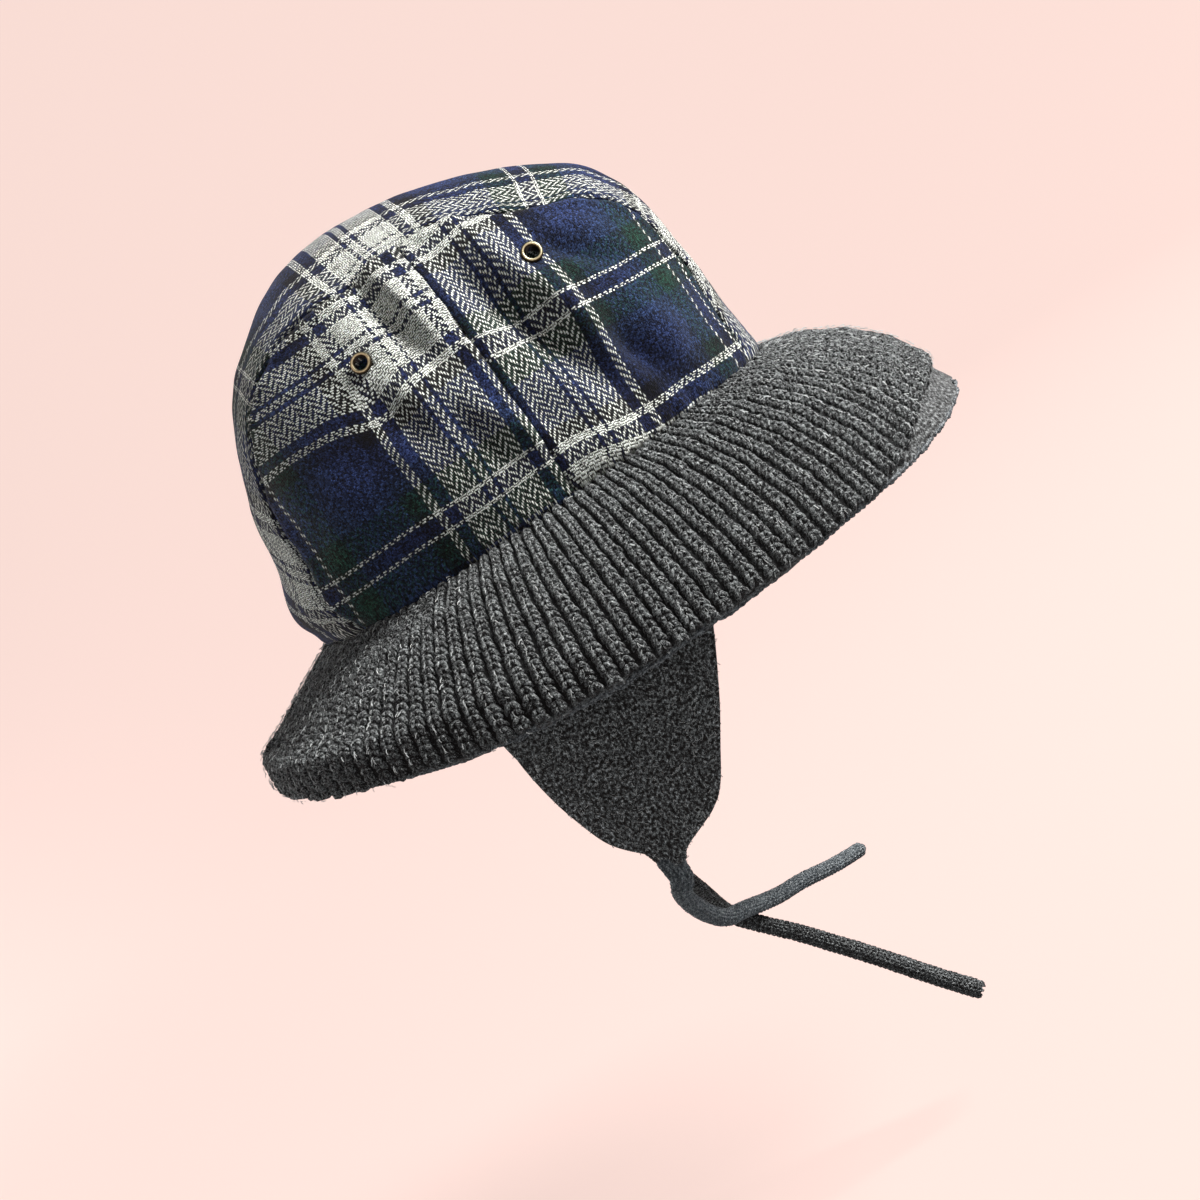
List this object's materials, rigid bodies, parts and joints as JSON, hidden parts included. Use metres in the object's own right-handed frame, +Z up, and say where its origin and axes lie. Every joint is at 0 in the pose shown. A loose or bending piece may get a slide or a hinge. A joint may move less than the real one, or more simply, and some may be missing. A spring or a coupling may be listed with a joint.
{
  "type": "winter hat with ear flaps, knitted brim and chin ties",
  "caption": "Winter hat with a plaid cloth crown, a ribbed knit brim all round, knitted ear flaps that end in tube ties, and brass ventilation eyelets.",
  "frame": {"origin": "centre of the head opening, in the plane of the seam that joins the crown to the brim", "axes": "+X towards the wearer's front, +Y towards the wearer's left, +Z up through the top of the crown"},
  "size_m": [0.3055, 0.2753, 0.3916],
  "materials": {
    "plaid_cloth": "napped wool herringbone twill in a blue, green, black and cream plaid",
    "rib_knit": "charcoal marl rib knit with pale flecks",
    "jersey_knit": "fine charcoal marl jersey knit with pale flecks",
    "tie_knit": "charcoal marl tubular knit",
    "antique_brass": "antique brass, darkened and worn on its rim"
  },
  "bodies": {
    "root": {"crown_strip": "plaid_cloth", "front_panel_right": "plaid_cloth", "rear_panel_right": "plaid_cloth", "front_panel_left": "plaid_cloth", "rear_panel_left": "plaid_cloth", "brim": "rib_knit", "brim_facing": "jersey_knit", "ear_flap_right": "jersey_knit", "ear_flap_left": "jersey_knit", "tie_right": "tie_knit", "tie_left": "tie_knit", "eyelet_front_right": "antique_brass", "eyelet_rear_right": "antique_brass", "eyelet_front_left": "antique_brass", "eyelet_rear_left": "antique_brass"}
  },
  "joints": []
}
